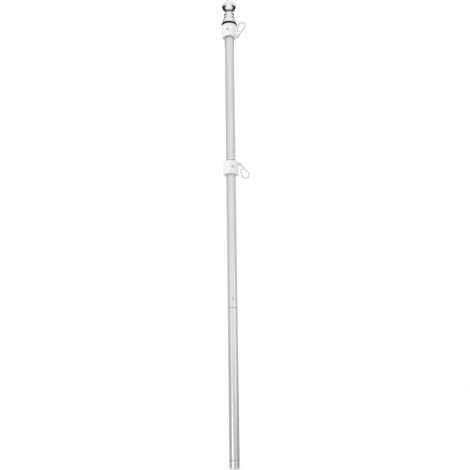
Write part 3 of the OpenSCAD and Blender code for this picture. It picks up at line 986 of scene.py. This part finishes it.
def seen_rays(tree):
    """A value of 1 for camera, glossy and transmission rays, else 0."""
    rays = add_node(tree, "ShaderNodeLightPath").outputs
    first = add_node(
        tree, "ShaderNodeMath", {"operation": 'MAXIMUM'},
        Value=rays["Is Camera Ray"], Value_001=rays["Is Glossy Ray"])
    return add_node(
        tree, "ShaderNodeMath", {"operation": 'MAXIMUM'},
        Value=first.outputs["Value"], Value_001=rays["Is Transmission Ray"]).outputs["Value"]


def ramp(value, points):
    """Read a line through (place, level) points."""
    for (a, first), (b, last) in zip(points, points[1:]):
        if value <= b:
            return first + (last - first) * max(0, value - a) / (b - a)
    return points[-1][1]


# The levels below are read at a turn in degrees from the front and a height in
# metres, and a level of 1 is white
def near_level(turn, height):
    """Level of the glowing screen about the pole, a painted reflection: pale before and behind,
    greyer at the sides.

    Near the foot it darkens, and two paler strips run up it as painted highlights.
    """
    foot = 1 - smooth_step(height, 0.05, 0.5)
    front = 1 - 0.3 * foot
    side = 0.73 - (0.26 if turn > 0 else 0.2) * foot
    level = side + (front - side) * (
        1 - smooth_step(abs(turn), 25, 85) + smooth_step(abs(turn), 145, 180))
    left = ramp(height, [(0, 1.5), (0.08, 1.4), (0.21, 0.7), (0.38, 0.3), (0.6, 0.05), (0.9, 0)])
    right = ramp(height, [(0, 0.3), (0.08, 0.35), (0.21, 0.95), (0.38, 0.6), (0.6, 0.1), (0.9, 0)])
    level += left * math.exp(-((turn + 35) / 11) ** 2)
    return level + right * math.exp(-((turn - 50) / 10) ** 2)


def far_level(turn, height):
    """Level of the far glowing screen, a painted reflection of the studio's walls: pale, with dark
    flags that rise towards the back.
    """
    grey = 0.28 * smooth_step(abs(turn), 25, 85) * (1 - smooth_step(height, 2.4, 3.2))
    edge = ramp(height, [(0, 85), (0.35, 75), (0.55, 52), (0.8, 44), (1.5, 40)])
    back = ramp(height, [(1.4, 135), (1.8, 150)])
    dark = smooth_step(abs(turn), edge, edge + 10) * (1 - smooth_step(abs(turn), back, back + 24))
    top = ramp(abs(turn), [(60, 1.38), (100, 1.6), (130, 2.4)])
    dark *= 1 - smooth_step(height, top, top + 0.12)
    return (1 - grey) * (1 - dark) + 0.03 * dark


def glowing_material(name):
    """A glowing screen, no lamp, which shines at the level painted on each point of its mesh."""
    material, tree = new_material(name)
    painted = add_node(tree, "ShaderNodeVertexColor", {"layer_name": "level"})
    material.cycles.emission_sampling = 'NONE'
    return finish_material(material, add_node(
        tree, "ShaderNodeEmission", Color=painted.outputs["Color"], Strength=1.0))


def add_screen(name, outline, level, glowing):
    """A graded glowing screen about the pole that only mirror-like surfaces see: a painted
    reflection.
    """
    columns, spacing = 120, 20 * MM
    places, tones, faces = [], [], []
    rings = outline[:1]
    for (r, z), (next_r, next_z) in zip(outline, outline[1:]):
        steps = max(1, round((next_z - z) / spacing))
        rings += [
            (r + (next_r - r) * k / steps, z + (next_z - z) * k / steps)
            for k in range(1, steps + 1)]
    for reach, height in rings:
        for i in range(columns):
            degrees = 360 * i / columns - 180
            turn = math.radians(degrees)
            places.append((reach * math.sin(turn), -reach * math.cos(turn), height))
            tones.append(level(degrees, height))
    for k in range(len(rings) - 1):
        for i in range(columns):
            j = (i + 1) % columns
            faces.append((
                k * columns + i, k * columns + j, (k + 1) * columns + j, (k + 1) * columns + i))
    mesh = bpy.data.meshes.new(name)
    mesh.from_pydata(places, [], faces)
    layer = mesh.color_attributes.new("level", 'FLOAT_COLOR', 'POINT')
    for item, tone in zip(layer.data, tones):
        item.color = (tone, tone, tone, 1)
    mesh.materials.append(glowing)
    screen = linked(name, mesh)
    screen.visible_camera = False
    screen.visible_diffuse = False
    screen.visible_shadow = False
    screen.visible_transmission = False


def add_lamp(name, place, target, width, height, power):
    """A soft rectangular lamp aimed at a point, not itself in the picture."""
    data = bpy.data.lights.new(name, 'AREA')
    data.shape = 'RECTANGLE'
    data.size = width
    data.size_y = height
    data.energy = power
    lamp = linked(name, data)
    lamp.location = place
    lamp.rotation_euler = (Vector(target) - Vector(place)).to_track_quat('-Z', 'Y').to_euler()
    lamp.visible_camera = False
    lamp.visible_glossy = False


def floor_material(name, tone, lift):
    """Painted studio floor: dull white, lifted to the background's white where seen."""
    material, tree = new_material(name)
    dull = add_node(tree, "ShaderNodeBsdfDiffuse", Color=shade(tone))
    level = add_node(
        tree, "ShaderNodeMapRange", Value=seen_rays(tree), To_Min=0.0, To_Max=lift)
    glow = add_node(tree, "ShaderNodeEmission", Strength=level.outputs["Result"])
    return finish_material(material, add_node(
        tree, "ShaderNodeAddShader", Shader=dull.outputs[0], Shader_001=glow.outputs[0]))


class FLAGPOLE_OT_stage(Operator):
    """Set up the camera, the floor, the surround and the lamps."""

    bl_idname = "flagpole.stage"
    bl_label = "Build the Stage"

    def execute(self, context):
        scene = context.scene
        studio = scene.flagpole.studio
        data = bpy.data.cameras.new("camera")
        data.sensor_width = 36.0
        data.lens = studio.focal_px / PICTURE_PX * data.sensor_width
        camera = linked("camera", data)
        camera.matrix_world = camera_matrix(studio)
        scene.camera = camera

        world = bpy.data.worlds.new("white_surround")
        scene.world = world
        world.use_nodes = True
        tree = world.node_tree
        tree.nodes.clear()
        level = add_node(
            tree, "ShaderNodeMapRange", Value=seen_rays(tree), To_Min=studio.ambient, To_Max=1.0)
        sky = add_node(
            tree, "ShaderNodeBackground", Color=(1, 1, 1, 1), Strength=level.outputs["Result"])
        add_node(tree, "ShaderNodeOutputWorld", Surface=sky.outputs[0])

        floor = bpy.data.meshes.new("floor")
        wide, under = 6.0, -0.2 * MM
        floor.from_pydata(
            [(-wide, -wide, under), (wide, -wide, under), (wide, wide, under),
             (-wide, wide, under)], [], [(0, 1, 2, 3)])
        floor.materials.append(floor_material("painted_floor", studio.floor, studio.floor_lift))
        linked("floor", floor)

        # Each glowing screen runs in over the floor to the pole's foot, just above the painted
        # floor
        near, far = studio.near_screen, studio.far_screen
        glowing = glowing_material("graded_paper")
        add_screen("near_screen", [
            (0.1 * near, MM), (near, MM), (near, studio.near_top - studio.near_taper),
            (studio.near_mouth, studio.near_top)], near_level, glowing)
        add_screen("far_screen", [
            (0.1 * far, MM), (far, MM), (far, studio.far_top)], far_level, glowing)
        add_lamp(
            "key_lamp", place=(-1.6, -1.4, 1.7), target=(0, 0, 0.9), width=1.0, height=1.0,
            power=9.0)
        scene.view_settings.view_transform = 'Standard'
        return {'FINISHED'}


class FLAGPOLE_PT_sidebar(Panel):
    """Buttons for each step of the flagpole's looks."""

    bl_idname = "FLAGPOLE_PT_sidebar"
    bl_label = "Flagpole"
    bl_space_type = 'VIEW_3D'
    bl_region_type = 'UI'
    bl_category = "Flagpole"

    def draw(self, context):
        for step in STEPS:
            self.layout.operator(step.bl_idname)


STEPS = (
    FLAGPOLE_OT_finishes, FLAGPOLE_OT_tubes, FLAGPOLE_OT_foot, FLAGPOLE_OT_collars,
    FLAGPOLE_OT_clips, FLAGPOLE_OT_finial, FLAGPOLE_OT_stage,
)
CLASSES = (
    FlagpoleFinishes, FlagpolePole, FlagpoleCollar, FlagpoleClip, FlagpoleFinial,
    FlagpoleStudio, FlagpoleSettings, *STEPS, FLAGPOLE_PT_sidebar,
)


def register():
    for cls in CLASSES:
        bpy.utils.register_class(cls)
    bpy.types.Scene.flagpole = PointerProperty(type=FlagpoleSettings)


def unregister():
    del bpy.types.Scene.flagpole
    for cls in reversed(CLASSES):
        bpy.utils.unregister_class(cls)


def main():
    register()
    bpy.ops.flagpole.finishes()
    bpy.ops.flagpole.tubes()
    bpy.ops.flagpole.foot()
    bpy.ops.flagpole.collars()
    bpy.ops.flagpole.clips()
    bpy.ops.flagpole.finial()
    bpy.ops.flagpole.stage()


if __name__ == "__main__":
    main()
